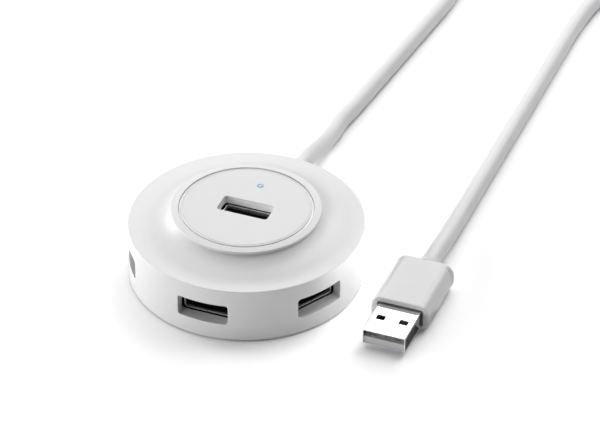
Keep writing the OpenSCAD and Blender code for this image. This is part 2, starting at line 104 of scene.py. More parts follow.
shell_low, shell_high = cad_corners("plug_shell")
grip_low, grip_high = cad_corners("plug_grip")
gland_low, gland_high = cad_corners("cable_gland")
PLUG_X = (shell_low.x + shell_high.x) / 2
PLUG_Z = (grip_low.z + grip_high.z) / 2
NOSE_Y = shell_low.y
PLUG_W, PLUG_H = shell_high.x - shell_low.x, shell_high.z - shell_low.z
GRIP_W, GRIP_H = grip_high.x - grip_low.x, grip_high.z - grip_low.z
GRIP_Y0, GRIP_Y1 = grip_low.y, grip_high.y
BOOT_END = cad_corners("plug_boot")[1].y
RELIEF_END = gland_high.y


# --- camera ---------------------------------------------------------------------

VIEW_AZIMUTH, VIEW_ELEVATION = 21.2, 36.15
VIEW_DISTANCE = 1000
VIEW_CENTRE = Vector((8.53, 17.85, 8.0))
LENS, SENSOR_WIDTH = 219.5, 36
CLIP_START, CLIP_END = 0.05, 20


def make_camera():
    a, e = math.radians(VIEW_AZIMUTH), math.radians(VIEW_ELEVATION)
    back = Vector((math.sin(a) * math.cos(e), -math.cos(a) * math.cos(e), math.sin(e)))
    data = bpy.data.cameras.new("camera")
    data.sensor_width = SENSOR_WIDTH
    data.lens = LENS
    data.clip_start, data.clip_end = CLIP_START, CLIP_END
    camera = add_object("camera", data)
    camera.location = (VIEW_CENTRE + back * VIEW_DISTANCE) * MM
    camera.rotation_euler = (-back).to_track_quat("-Z", "Y").to_euler()
    bpy.context.scene.camera = camera


make_camera()


# --- outlines --------------------------------------------------------------------


def clamp(t):
    return max(0.0, min(1.0, t))


def ease(t):
    t = clamp(t)
    return t * t * (3 - 2 * t)


def fillet(points, steps=4):
    """Outline with an arc at each corner (x, y, radius); radius 0 leaves a point."""
    out = []
    for i, (x, y, radius) in enumerate(points):
        here = Vector((x, y))
        if radius == 0:
            out.append((x, y))
            continue
        before = (Vector(points[i - 1][:2]) - here).normalized()
        after = (Vector(points[(i + 1) % len(points)][:2]) - here).normalized()
        half = before.angle(after) / 2
        centre = here + (before + after).normalized() * (radius / math.sin(half))
        first = here + before * (radius / math.tan(half)) - centre
        last = here + after * (radius / math.tan(half)) - centre
        turn = first.angle_signed(last)
        for k in range(steps + 1):
            a = -turn * k / steps
            spin = Matrix(((math.cos(a), -math.sin(a)), (math.sin(a), math.cos(a))))
            out.append(tuple(centre + spin @ first))
    return out


def rounded_rect(w, h, corner, across=1, up=1, steps=6):
    """Counter-clockwise outline round the origin, with its long edges cut in across and up parts."""
    out = []
    corners = ((1, -1, -90, up), (1, 1, 0, across), (-1, 1, 90, up), (-1, -1, 180, across))
    for sx, sy, start, cuts in corners:
        cx, cy = sx * (w / 2 - corner), sy * (h / 2 - corner)
        arc = []
        for k in range(steps + 1):
            a = math.radians(start + 90 * k / steps)
            arc.append(Vector((cx + corner * math.cos(a), cy + corner * math.sin(a))))
        out += arc
        a = math.radians(start + 90)
        run = Vector((-math.sin(a), math.cos(a))) * ((w if sx == sy else h) - 2 * corner)
        out += [arc[-1] + run * (k / cuts) for k in range(1, cuts)]
    return [tuple(p) for p in out]


def circle(radius, count=64, x=0.0, y=0.0):
    turn = 2 * math.pi / count
    return [(x + radius * math.cos(i * turn), y + radius * math.sin(i * turn)) for i in range(count)]


def shifted(loop, u, v):
    return [(x + u, y + v) for x, y in loop]


def inside(point, loop):
    x, y = point
    odd = False
    for (x0, y0), (x1, y1) in zip(loop, loop[1:] + loop[:1]):
        if (y0 > y) != (y1 > y) and x < x0 + (y - y0) / (y1 - y0) * (x1 - x0):
            odd = not odd
    return odd


def lip_steps(lip, steps=4):
    """How much an opening is grown, and how deep, at each step of its rounded lip."""
    turns = [math.radians(90 * i / steps) for i in range(steps + 1)]
    return [(lip * (1 - math.sin(a)), lip * (1 - math.cos(a))) for a in turns]


# --- where an outline goes in space -----------------------------------------------


def at_height(z):
    return lambda u, v: Vector((u, v, z))


def on_plane(turn, y):
    spin = Matrix.Rotation(math.radians(turn), 3, "Z")
    return lambda u, v: spin @ Vector((u, y, v))


def on_wall(turn, radius, depth=0.0):
    """Puts (u, v) on the side of a cylinder, depth behind its surface; turn 0 faces -Y."""
    spin = Matrix.Rotation(math.radians(turn), 3, "Z")
    return lambda u, v: spin @ Vector((u, depth - math.sqrt(radius * radius - u * u), v))


def along_y(x, z):
    """Puts a lathe's axis along +Y."""
    return lambda u, v, h: (x + u, h, z - v)


def placed(place, loop):
    return [place(u, v) for u, v in loop]


def lip_loops(place_at, outline, lip, steps=4):
    """Loops of an opening's rounded lip; place_at(depth) puts an outline that deep."""
    return [placed(place_at(depth), outline(grow)) for grow, depth in lip_steps(lip, steps)]


# --- meshes ------------------------------------------------------------------------

SEGMENTS = 360
WELD_DISTANCE, SLIVER = 0.0005, 0.0002
PATCH_EPSILON = 1e-6


def add_face(bm, points):
    bm.faces.new([bm.verts.new(p) for p in points])


def loft(bm, loops, capped=False):
    """Quads from loop to loop of 3-D points, all with the same count."""
    for lower, upper in zip(loops, loops[1:]):
        a = [bm.verts.new(p) for p in lower]
        b = [bm.verts.new(p) for p in upper]
        for i in range(len(a)):
            n = (i + 1) % len(a)
            bm.faces.new((a[i], a[n], b[n], b[i]))
    if capped:
        add_face(bm, reversed(loops[0]))
        add_face(bm, loops[-1])


def lathe(bm, profile, segments=SEGMENTS, closed=False, skip=None, place=None):
    """Turns (r, height) points round an axis; skip(height, height, segment) leaves a quad out."""
    place = place or (lambda x, y, h: (x, y, h))
    rings = [[bm.verts.new(place(x, y, h)) for x, y in circle(r, segments)] for r, h in profile]
    count = len(profile)
    for i in range(count if closed else count - 1):
        n = (i + 1) % count
        for k in range(segments):
            if skip and skip(profile[i][1], profile[n][1], k):
                continue
            m = (k + 1) % segments
            bm.faces.new((rings[i][k], rings[i][m], rings[n][m], rings[n][k]))


def patch(bm, outer, holes, place, extra=()):
    """Triangles between an outer loop and its holes, put in space by place(u, v)."""
    points, edges = [], []
    for loop in [outer, *holes]:
        first = len(points)
        points += [Vector(p) for p in loop]
        edges += [(first + i, first + (i + 1) % len(loop)) for i in range(len(loop))]
    points += [Vector(p) for p in extra]
    verts, _, faces, *_ = delaunay_2d_cdt(points, edges, [], 0, PATCH_EPSILON)
    made = [bm.verts.new(place(*p)) for p in verts]
    for face in faces:
        middle = sum((verts[i] for i in face), Vector((0, 0))) / len(face)
        if inside(middle, outer) and not any(inside(middle, hole) for hole in holes):
            bm.faces.new([made[i] for i in face])


def as_mesh(name, bm, material):
    mesh = bpy.data.meshes.new(name)
    bm.to_mesh(mesh)
    bm.free()
    mesh.materials.append(material)
    return mesh


def build(name, bm, material, replaced, sharp=35):
    """Welds a mesh in millimetres into a piece in metres that rides on the hub for CAD nodes."""
    bmesh.ops.remove_doubles(bm, verts=bm.verts, dist=WELD_DISTANCE)
    bmesh.ops.dissolve_degenerate(bm, edges=bm.edges, dist=SLIVER)
    bmesh.ops.recalc_face_normals(bm, faces=bm.faces)
    bmesh.ops.scale(bm, verts=bm.verts, vec=(MM, MM, MM))
    mesh = as_mesh(name, bm, material)
    mesh.shade_smooth()
    mesh.set_sharp_from_angle(angle=math.radians(sharp))
    piece = add_object(name, mesh)
    weighted = piece.modifiers.new("flat faces stay flat", "WEIGHTED_NORMAL")
    weighted.keep_sharp = True
    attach(piece, "root")
    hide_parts(*replaced)
    return piece


# --- materials -------------------------------------------------------------------


class Nodes:
    """Short calls for a node material."""

    def __init__(self, name):
        self.material = bpy.data.materials.new(name)
        self.material.use_nodes = True
        self.tree = self.material.node_tree
        self.tree.nodes.clear()
        output = self.add("ShaderNodeOutputMaterial")
        self.shader = self.add("ShaderNodeBsdfPrincipled")
        self.link(self.shader.outputs["BSDF"], output.inputs["Surface"])
        self.place = self.add("ShaderNodeTexCoord").outputs["Object"]

    def add(self, kind, **settings):
        node = self.tree.nodes.new(kind)
        for key, value in settings.items():
            setattr(node, key, value)
        return node

    def link(self, a, b):
        self.tree.links.new(a, b)

    def set(self, **values):
        for key, value in values.items():
            self.shader.inputs[key.replace("_", " ")].default_value = value

    def feed(self, key, output):
        self.link(output, self.shader.inputs[key])

    def source(self, key):
        """What feeds one of the shader's inputs now."""
        return self.shader.inputs[key].links[0].from_socket

    def height(self):
        node = self.add("ShaderNodeSeparateXYZ")
        self.link(self.place, node.inputs["Vector"])
        return node.outputs["Z"]

    def distance(self, centre, axes=(1, 1, 1)):
        """How far a point is from centre, measured along the axes marked 1."""
        kept = self.add("ShaderNodeVectorMath", operation="MULTIPLY")
        kept.inputs[1].default_value = axes
        self.link(self.place, kept.inputs[0])
        away = self.add("ShaderNodeVectorMath", operation="DISTANCE")
        away.inputs[1].default_value = centre
        self.link(kept.outputs["Vector"], away.inputs[0])
        return away.outputs["Value"]

    def noise(self, size_mm, detail=3.0, stretch=None):
        """Noise whose bumps are about size_mm across."""
        node = self.add("ShaderNodeTexNoise")
        node.inputs["Scale"].default_value = 1 / (size_mm * MM)
        node.inputs["Detail"].default_value = detail
        where = self.place
        if stretch:
            mapping = self.add("ShaderNodeMapping")
            mapping.inputs["Scale"].default_value = stretch
            self.link(where, mapping.inputs["Vector"])
            where = mapping.outputs["Vector"]
        self.link(where, node.inputs["Vector"])
        return node.outputs["Fac"]

    def span(self, value, low, high, start=0.3, end=0.7):
        """value from start to end, spread over low to high."""
        node = self.add("ShaderNodeMapRange")
        keys = ("From Min", "From Max", "To Min", "To Max")
        for key, number in zip(keys, (start, end, low, high)):
            node.inputs[key].default_value = number
        self.link(value, node.inputs["Value"])
        return node.outputs["Result"]

    def blend(self, value, first, second):
        """From first to second as value goes from 0 to 1; each is a colour or a node's output."""
        node = self.add("ShaderNodeMix", data_type="RGBA")
        for key, colour in (("A", first), ("B", second)):
            if isinstance(colour, tuple):
                node.inputs[key].default_value = (*colour, 1)
            else:
                self.link(colour, node.inputs[key])
        self.link(value, node.inputs["Factor"])
        return node.outputs["Result"]

    def bump(self, height, depth_mm, after=None):
        node = self.add("ShaderNodeBump")
        node.inputs["Strength"].default_value = 1
        node.inputs["Distance"].default_value = depth_mm * MM
        self.link(height, node.inputs["Height"])
        if after:
            self.link(after, node.inputs["Normal"])
        return node.outputs["Normal"]


FLOW_MM, FLOW_DEPTH = 6.0, 0.0015


def moulded_plastic(name, colour, shade, rough, grain_mm=0.16, grain_depth=0.004):
    """Injection-moulded plastic: spark-eroded grain, slight flow marks, slightly uneven gloss."""
    n = Nodes(name)
    flow = n.noise(FLOW_MM, 2)
    n.feed("Base Color", n.blend(n.span(flow, 0, 1), colour, shade))
    n.feed("Roughness", n.span(n.noise(grain_mm * 9, 4), rough * 0.96, rough * 1.04))
    grain = n.bump(n.noise(grain_mm, 2), grain_depth)
    n.feed("Normal", n.bump(flow, FLOW_DEPTH, grain))
    return n


def housing_white():
    """Glossy on the side wall and satin above the rim."""
    n = moulded_plastic("housing_white", (0.535, 0.535, 0.541), (0.53, 0.53, 0.536), 0.17, 0.3, 0.0004)
    rough = n.add("ShaderNodeMath", operation="ADD")
    n.link(n.source("Roughness"), rough.inputs[0])
    n.link(n.span(n.height(), 0, 0.2, (RIM_Z - 0.3) * MM, (RIM_Z + 0.1) * MM), rough.inputs[1])
    n.feed("Roughness", rough.outputs["Value"])
    n.set(IOR=1.58)
    return n.material


def disc_white():
    """Painted light: paler below the top face, on the window's walls and the disc's edge, and a faint
    painted blue glow round the power light.
    """
    n = moulded_plastic("disc_white", (0.53, 0.53, 0.532), (0.525, 0.525, 0.528), 0.36, 0.2, 0.001)
    # Painted glow: the power light's blue, painted into the colour round the light pipe.
    from_light = n.distance((0, LED_Y * MM, TOP_Z * MM))
    lit = n.span(from_light, 0, 1, PIPE_R * MM, 3 * PIPE_R * MM)
    face = n.blend(lit, (0.46, 0.53, 0.575), n.source("Base Color"))
    # Painted light: below the top face, on the window's walls and the disc's edge, the colour is painted
    # paler.
    top = n.span(n.height(), 0, 1, (TOP_Z - 0.4) * MM, (TOP_Z - 0.15) * MM)
    n.feed("Base Color", n.blend(top, (0.9, 0.9, 0.9), face))
    return n.material


def pipe_clear():
    """Clear rod with the indicator's blue light painted into its colour, brightest in its middle."""
    n = Nodes("pipe_clear")
    # Painted glow: paler blue in the middle, darker blue towards the rim.
    ring = n.span(n.distance((0, LED_Y * MM, 0), (1, 1, 0)), 0, 1, 0.2 * MM, 0.7 * MM)
    n.feed("Base Color", n.blend(ring, (0.32, 0.43, 0.48), (0.20, 0.32, 0.38)))
    n.feed("Normal", n.bump(n.noise(0.3, 2), 0.004))
    n.set(Roughness=0.25)
    return n.material


def roll(n, smooth, dull):
    """Rolled sheet: fine lines along it, and a gloss that varies from smooth to dull."""
    lines = n.noise(0.05, 2, (1, 0.04, 1))
    n.feed("Roughness", n.span(lines, smooth, dull))
    n.feed("Normal", n.bump(lines, 0.0008))
    n.set(Metallic=1.0)


def steel(name, colour, rough):
    """Nickel-plated rolled sheet."""
    n = Nodes(name)
    darker = tuple(c * 0.94 for c in colour)
    n.feed("Base Color", n.blend(n.span(n.noise(1.5, 3), 0, 1), colour, darker))
    roll(n, rough * 0.8, rough * 1.3)
    return n.material


def port_steel(name, mouth, axes, bright):
    """Sheet with a painted highlight at the port's mouth and painted shade further in; axes picks what
    mouth measures.
    """
    n = Nodes(name)
    # Painted light: pale near the mouth like a lit edge, dark further in like the shade inside the port.
    near = n.span(n.distance((0, 0, 0), axes), 0, 1, (mouth - bright - 0.4) * MM, (mouth - bright) * MM)
    n.feed("Base Color", n.blend(near, (0.16, 0.16, 0.17), (0.95, 0.95, 0.96)))
    roll(n, 0.27, 0.44)
    return n.material


def plain(name, colour, rough, metallic=0.0, grain_mm=0.2, depth=0.003):
    """Small part: its colour with fine grain."""
    n = Nodes(name)
    grain = n.noise(grain_mm, 3)
    n.feed("Base Color", n.blend(n.span(grain, 0, 1), colour, tuple(c * 0.88 for c in colour)))
    n.feed("Roughness", n.span(grain, rough * 0.85, min(1, rough * 1.15)))
    n.feed("Normal", n.bump(grain, depth))
    n.set(Metallic=metallic)
    return n.material


HOUSING, DISC, LIGHT_PIPE = housing_white(), disc_white(), pipe_clear()
CABLE = moulded_plastic("cable_white", (0.57, 0.57, 0.57), (0.56, 0.56, 0.562), 0.4, 0.25, 0.002).material
GRIP = moulded_plastic("grip_white", (0.56, 0.56, 0.56), (0.555, 0.555, 0.557), 0.33, 0.2, 0.001).material
# Both port steels carry painted light: a highlight at the mouth and shade further in.
SIDE_STEEL = port_steel("port_steel", SIDE_MOUTH_R, (1, 1, 0), 0.3)
TOP_STEEL = port_steel("top_port_steel_painted_shading", TOP_MOUTH_Z, (0, 0, 1), 0.8)
PLUG_STEEL = steel("plug_steel", (0.78, 0.78, 0.79), 0.14)
TIE = plain("tie_grey", (0.10, 0.10, 0.11), 0.55, grain_mm=0.3)
BLACK = plain("tongue_black", (0.012, 0.012, 0.013), 0.4)
GOLD = plain("contact_gold", (0.86, 0.79, 0.64), 0.3, 1.0, 0.1, 0.001)


# --- cable: the routes repeat the CAD's, and a loop winds the coil between them --------

HUB_ROUTE = [
    (0, 39.5, 7.5), (0, 42, 7.5), (0, 48, 6.6), (0, 54, 4.9), (0, 60, 3.4), (0, 66, 2.6),
    (0, 72, 2.5), (1, 80, 2.5), (2, 90, 2.5), (3, 100, 2.5), (4, 110, 2.5), (5, 120, 2.5),
    (6, 130, 2.5), (7, 140, 2.5), (7.1, 147.5, 2.5), (6, 154.8, 2.5), (3.7, 162, 2.5),
    (0.2, 168.6, 2.6),
]
PLUG_ROUTE = [
    (53.4, 186, 2.5), (52, 176, 2.5), (50, 165.5, 2.5), (48.1, 155, 2.5), (47.2, 144, 2.5),
    (47, 132, 2.5), (47, 120, 2.5), (47, 108, 2.5), (47, 96, 2.5), (47, 84, 2.5),
    (47, 72, 2.5), (47, 60, 2.5), (47, 49, 2.5), (47, 40, 2.5), (47.1, 32, 2.9),
    (47.2, 25, 3.6), (47.2, 19.5, 4), (47.2, 16.9, 4),
]
COIL_X, COIL_Y = 18.2, 195.2
COIL_LIFT = 0.4
COIL_Z = CORD_D / 2 + COIL_LIFT
TURN_R, TURN_PITCH, TURN_OUT = 29.5, 5.1, 35.7
TURNS, LEAD_IN = 3.5, 0.09
SHIFT_TURNS = 0.32
HUMP_HEIGHT = 0.75
POINTS_A_TURN = 24
CORD_SMOOTHNESS = 6


def round_lower_turn(place):
    """Radius and height at an angle round the outer lower turn."""
    a = math.radians(place)
    return TURN_R + TURN_PITCH * math.cos(a), COIL_Z + TURN_PITCH * math.sin(a)


def turn_section(u):
    """Radius and height of the cable after u turns. Each turn moves over before the next is there."""
    if u < 1:
        return TURN_R - TURN_PITCH * ease((u - 0.58) / SHIFT_TURNS), COIL_Z
    if u < 2:
        r, z = round_lower_turn(180 - 60 * ease((u - 1.36) / SHIFT_TURNS))
        return r, z + HUMP_HEIGHT * math.sin(math.pi * clamp((u - 1.6) / 0.28)) ** 2
    if u < 3:
        return round_lower_turn(120 - 60 * ease((u - 2.16) / SHIFT_TURNS))
    down = ease((u - 3) / 0.3)
    r, z = round_lower_turn(60 * (1 - down))
    return r + (TURN_OUT - TURN_R - TURN_PITCH) * down, z - COIL_LIFT * down


def cord_points():
    points = list(HUB_ROUTE)
    count = round((TURNS + LEAD_IN) * POINTS_A_TURN)
    for i in range(count + 1):
        u = -LEAD_IN + (TURNS + LEAD_IN) * i / count
        r, z = turn_section(u)
        a = math.pi - 2 * math.pi * u
        points.append((COIL_X + r * math.cos(a), COIL_Y + r * math.sin(a), z))
    return points + PLUG_ROUTE


def make_cable():
    points = cord_points()
    data = bpy.data.curves.new("cable", "CURVE")
    data.dimensions = "3D"
    data.bevel_depth = CORD_D / 2 * MM
    data.bevel_resolution = CORD_SMOOTHNESS
    data.resolution_u = CORD_SMOOTHNESS
    data.use_fill_caps = True
    spline = data.splines.new("BEZIER")
    spline.bezier_points.add(len(points) - 1)
    for point, place in zip(spline.bezier_points, points):
        point.co = Vector(place) * MM
        point.handle_left_type = point.handle_right_type = "AUTO"
    data.materials.append(CABLE)
    cable = add_object("cable", data)
    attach(cable, "root")
    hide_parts("cord_hub_run", "cord_coil", "cord_plug_run")
    return cable


cable = make_cable()


# --- housing ------------------------------------------------------------------------

WALL_LOW, WALL_HIGH = 3.0, 13.6
PORT_HALF, OUTLET_HALF = 18, 9
SECTORS = [(270 + turn, PORT_HALF) for turn in PORT_TURNS] + [(90, OUTLET_HALF)]
LONG_CUTS, SHORT_CUTS = 24, 6
FOOT_STEPS = 5


def wall_border(radius, half):
    """Border of a wall patch that reaches half degrees to either side of its opening."""
    us = [radius * math.sin(math.radians(k)) for k in range(-half, half + 1)]
    return [(u, WALL_LOW) for u in us] + [(u, WALL_HIGH) for u in reversed(us)]


def wall_grid(radius, half, keep_out, rows=8):
    """Points that keep a wall patch round, one column a degree, clear of its opening."""
    grid = []
    for k in range(1 - half, half):
        for row in range(1, rows):
            height = WALL_LOW + (WALL_HIGH - WALL_LOW) * row / rows
            point = radius * math.sin(math.radians(k)), height
            if not inside(point, keep_out):
                grid.append(point)
    return grid


def side_window(bm, turn):
    """Window with a rounded lip, and the block behind it that holds the port."""

    def outline(grow):
        w, h = WINDOW_W + 2 * grow, WINDOW_H + 2 * grow
        return shifted(rounded_rect(w, h, WINDOW_CORNER + grow, LONG_CUTS, SHORT_CUTS), 0, WINDOW_Z)

    rear = on_plane(turn, FRAME_DEPTH - HUB_R)
    outer_wall, inner_wall = on_wall(turn, HUB_R), on_wall(turn, INNER_R)
    loops = lip_loops(lambda depth: on_wall(turn, HUB_R, depth), outline, WINDOW_LIP)
    loft(bm, loops + [placed(rear, outline(0))])
    grid = wall_grid(HUB_R, PORT_HALF, outline(0.6))
    patch(bm, wall_border(HUB_R, PORT_HALF), [outline(WINDOW_LIP)], outer_wall, grid)

    block = rounded_rect(FRAME_W, FRAME_H, FRAME_CORNER, LONG_CUTS, SHORT_CUTS)
    block = shifted(block, 0, FRAME_Z)
    patch(bm, block, [outline(0)], rear)
    loft(bm, [placed(rear, block), placed(inner_wall, block)])
    patch(bm, wall_border(INNER_R, PORT_HALF), [block], inner_wall)


def cable_hole(bm):
    def outline(grow):
        return circle(OUTLET_R + grow, 64, 0, OUTLET_Z)

    outer_wall, inner_wall = on_wall(180, HUB_R), on_wall(180, INNER_R)
    loops = lip_loops(lambda depth: on_wall(180, HUB_R, depth), outline, OUTLET_LIP)
    loft(bm, loops + [placed(inner_wall, outline(0))])
    grid = wall_grid(HUB_R, OUTLET_HALF, outline(0.5))
    patch(bm, wall_border(HUB_R, OUTLET_HALF), [outline(OUTLET_LIP)], outer_wall, grid)
    patch(bm, wall_border(INNER_R, OUTLET_HALF), [outline(0)], inner_wall)


def screw_boss(bm, angle):
    a = math.radians(angle)
    x, y = SCREW_POS_R * math.cos(a), SCREW_POS_R * math.sin(a)
    rings = (
        (BOSS_R, BOSS_TOP_Z),
        (BOSS_R, BOSS_LOW_Z + BOSS_EDGE),
        (BOSS_R - BOSS_EDGE, BOSS_LOW_Z),
        (BOSS_HOLE_R + BOSS_EDGE, BOSS_LOW_Z),
        (BOSS_HOLE_R, BOSS_LOW_Z + BOSS_EDGE),
        (BOSS_HOLE_R, BOSS_HOLE_TOP_Z),
    )
    loft(bm, [placed(at_height(z), circle(r, 48, x, y)) for r, z in rings])


def cove_points(drop=0.0, steps=40):
    """Hollow sweep from the rim up to the neck, level where it leaves the rim."""
    rim_r = HUB_R - RIM_ROUND
    width, height = rim_r - NECK_R, NECK_Z - RIM_Z
    out = []
    for i in range(1, steps + 1):
        t = i / steps
        out.append((rim_r - width * t, RIM_Z + height * t ** COVE_POWER - drop))
    return out


def housing_profile():
    """Closed outline: foot, wall, rim, cove, collar, ledge, under the cove, and down inside."""
    wall = fillet([
        (HUB_R, FOOT_GAP, 0.25),
        (HUB_R, WALL_LOW, 0),
        (INNER_R, WALL_LOW, 0),
        (INNER_R, FOOT_GAP, 0.1),
    ], FOOT_STEPS)
    outer_foot, inner_foot = wall[:FOOT_STEPS + 2], wall[-FOOT_STEPS - 1:]
    rim = fillet([(HUB_R, RIM_Z - 2, 0), (HUB_R, RIM_Z, RIM_ROUND), (NECK_R, RIM_Z, 0)], 6)[1:-1]
    collar = fillet([
        (NECK_R, NECK_Z - 1, 0),
        (COLLAR_R, COLLAR_EDGE_Z, 0.12),
        (COLLAR_R, TOP_Z - BEZEL_DROP, 0.14),
        (POCKET_R + 0.1, TOP_Z, 0.12),
        (POCKET_R, LEDGE_Z, 0),
        (LEDGE_HOLE_R, LEDGE_Z, 0),
        (LEDGE_HOLE_R, LEDGE_UNDER_Z, 0),
    ])[1:]
    under_cove = [
        (r, z) for r, z in reversed(cove_points(ROOF_THICKNESS, 12))
        if z < LEDGE_UNDER_Z - 0.1 and r < INNER_R
    ]
    outside = [*outer_foot, (HUB_R, WALL_HIGH), *rim, *cove_points(), *collar]
    return [*outside, *under_cove, (INNER_R, WALL_HIGH), (INNER_R, WALL_LOW), *inner_foot]


def make_upper_housing():
    bm = bmesh.new()

    def is_open(low, high, k):
        in_band = min(low, high) > WALL_LOW - 0.01 and max(low, high) < WALL_HIGH + 0.01
        return in_band and any(abs(k + 0.5 - angle) < half for angle, half in SECTORS)

    lathe(bm, housing_profile(), closed=True, skip=is_open)
    for turn in PORT_TURNS:
        side_window(bm, turn)
    cable_hole(bm)
    for angle in SCREW_ANGLES:
        screw_boss(bm, angle)
    return build("housing", bm, HOUSING, ["upper_housing"])


# --- top disc -----------------------------------------------------------------------

DISC_SEGMENTS = 180
DISC_UNDER_Z = LEDGE_Z + 0.02
DISC_GROOVE = ((0, 0), (0.06, 0.08), (0.12, 0.08), (0.2, 0.01))


def make_top_disc():
    bm = bmesh.new()

    def window(grow):
        w, l = TOP_WINDOW_W + 2 * grow, TOP_WINDOW_L + 2 * grow
        return shifted(rounded_rect(w, l, WINDOW_CORNER + grow, 12, 6), 0, TOP_WINDOW_Y)

    def hole(grow):
        return circle(PIPE_R + 0.05 + grow, 48, 0, LED_Y)

    def down(depth):
        return at_height(TOP_Z - depth)

    rim = [(DISC_FLAT_R + out, TOP_Z - depth) for out, depth in DISC_GROOVE]
    for i in range(6):
        a = math.radians(18 * i)
        rim.append((DISC_R - DISC_EDGE * (1 - math.sin(a)), TOP_Z - DISC_EDGE * (1 - math.cos(a))))
    rim += [(DISC_R, TOP_Z - 0.4), (DISC_SKIRT_R, TOP_Z - 0.43), (DISC_SKIRT_R, DISC_UNDER_Z)]
    lathe(bm, rim, DISC_SEGMENTS)
    patch(bm, circle(DISC_FLAT_R, DISC_SEGMENTS), [window(TOP_WINDOW_LIP), hole(PIPE_LIP)], down(0))
    sleeve = [
        placed(at_height(TOP_SLEEVE_Z), window(0)),
        placed(at_height(TOP_SLEEVE_Z), window(SLEEVE_WALL)),
        placed(at_height(DISC_UNDER_Z), window(SLEEVE_WALL)),
    ]
    loft(bm, lip_loops(down, window, TOP_WINDOW_LIP) + sleeve)
    loft(bm, lip_loops(down, hole, PIPE_LIP) + [placed(at_height(DISC_UNDER_Z), hole(0))])
    underside = circle(DISC_SKIRT_R, DISC_SEGMENTS)
    patch(bm, underside, [window(SLEEVE_WALL), hole(0)], at_height(DISC_UNDER_Z))
    return build("disc", bm, DISC, ["top_disc"])


def make_light_pipe():
    low, high = cad_corners("light_pipe")
    bm = bmesh.new()
    profile = [
        (0, low.z),
        (PIPE_R, low.z),
        (PIPE_R, FLANGE_LOW_Z - 2 * FLANGE_EDGE),
        (FLANGE_R - FLANGE_EDGE, FLANGE_LOW_Z - FLANGE_EDGE),
        (FLANGE_R, FLANGE_LOW_Z),
        (FLANGE_R, FLANGE_HIGH_Z),
        (FLANGE_R - FLANGE_EDGE, FLANGE_HIGH_Z + FLANGE_EDGE),
        (PIPE_R, FLANGE_HIGH_Z + 2 * FLANGE_EDGE),
        (PIPE_R, high.z - 0.12),
        (PIPE_R - 0.03, high.z - 0.05),
        (PIPE_R - 0.12, high.z - 0.01),
        (0.3, high.z),
        (0, high.z),
    ]
    lathe(bm, profile, 48, place=lambda x, y, h: (x, y + LED_Y, h))
    return build("light_pipe_rod", bm, LIGHT_PIPE, ["light_pipe"])


# --- plug ---------------------------------------------------------------------------

SHEET = 0.3
NOSE_EDGE = 0.1
PLUG_CORNER, INNER_CORNER = 0.45, 0.25
HOLE_W, HOLE_L, HOLE_X, HOLE_FROM_NOSE = 2.45, 2.0, 3.2, 5.5
HOLE_CORNER, HOLE_LIP = 0.12, 0.06
MOUTH_W, MOUTH_H, MOUTH_DEPTH, MOUTH_CORNER, MOUTH_EDGE = 12.9, 5.3, 1.6, 0.7, 0.12
GRIP_CORNER, GRIP_EDGE = 3.3, 0.45
GROOVE_W, GROOVE_DEPTH, GROOVE_EDGE, CAP_L = 0.5, 0.2, 0.08, 1.5
BOOT_TIP_R, BOOT_FLARE, BOOT_POWER = 2.62, 1.28, 1.9
BOOT_STEPS = 16
GLAND_FLANGE_R, GLAND_FLANGE_L, GLAND_R, GLAND_TIP_R = 4.9, 1.5, 3.7, 2.9


def section_y(w, h, corner, y, steps=6):
    """Rounded section of the plug at y. It runs so that lofts towards +Y keep one order."""
    return [(PLUG_X + u, y, PLUG_Z + v) for u, v in rounded_rect(w, h, corner, steps=steps)]


def make_plug_shell():
    bm = bmesh.new()
    front, back = NOSE_Y + NOSE_EDGE, shell_high.y - 0.01
    inner_w, inner_h = PLUG_W - 2 * SHEET, PLUG_H - 2 * SHEET

    def inner(grow, y):
        return section_y(inner_w + grow, inner_h + grow, INNER_CORNER + grow / 2, y)

    def outer(shrink, corner_shrink, y):
        return section_y(PLUG_W - shrink, PLUG_H - shrink, PLUG_CORNER - corner_shrink, y)

    loft(bm, [
        inner(0, front),
        inner(NOSE_EDGE, NOSE_Y),
        outer(NOSE_EDGE * 1.2, NOSE_EDGE * 0.6, NOSE_Y),
        outer(NOSE_EDGE * 0.35, NOSE_EDGE * 0.17, NOSE_Y + NOSE_EDGE * 0.35),
        outer(0, 0, front),
    ])
    loft(bm, [outer(0, 0, back), inner(0, back)])

    # Narrow sides and corners; the two wide faces are patches with latch holes.
    for lower, upper in ((inner(0, back), inner(0, front)), (outer(0, 0, front), outer(0, 0, back))):
        for i, corner in enumerate(lower):
            n = (i + 1) % len(lower)
            if abs(corner[0] - lower[n][0]) < 2:
                add_face(bm, (corner, lower[n], upper[n], upper[i]))

    def hole(side, grow):
        loop = rounded_rect(HOLE_W + 2 * grow, HOLE_L + 2 * grow, HOLE_CORNER + grow)
        return shifted(loop, PLUG_X + side * HOLE_X, NOSE_Y + HOLE_FROM_NOSE + HOLE_L / 2)

    for up in (1, -1):
        outer_z, inner_z = PLUG_Z + up * PLUG_H / 2, PLUG_Z + up * inner_h / 2
        faces = ((outer_z, PLUG_W / 2 - PLUG_CORNER, HOLE_LIP), (inner_z, inner_w / 2 - INNER_CORNER, 0))
        for z, half, grow in faces:
            x0, x1 = PLUG_X - half, PLUG_X + half
            border = [(x0, front), (x1, front), (x1, back), (x0, back)]
            patch(bm, border, [hole(-1, grow), hole(1, grow)], at_height(z))
        for side in (-1, 1):
            rings = [
                placed(at_height(outer_z - up * depth), hole(side, grow))
                for grow, depth in lip_steps(HOLE_LIP, 3)
            ]
            loft(bm, rings + [placed(at_height(inner_z), hole(side, 0))])
    return build("plug_sleeve", bm, PLUG_STEEL, ["plug_shell"], sharp=50)


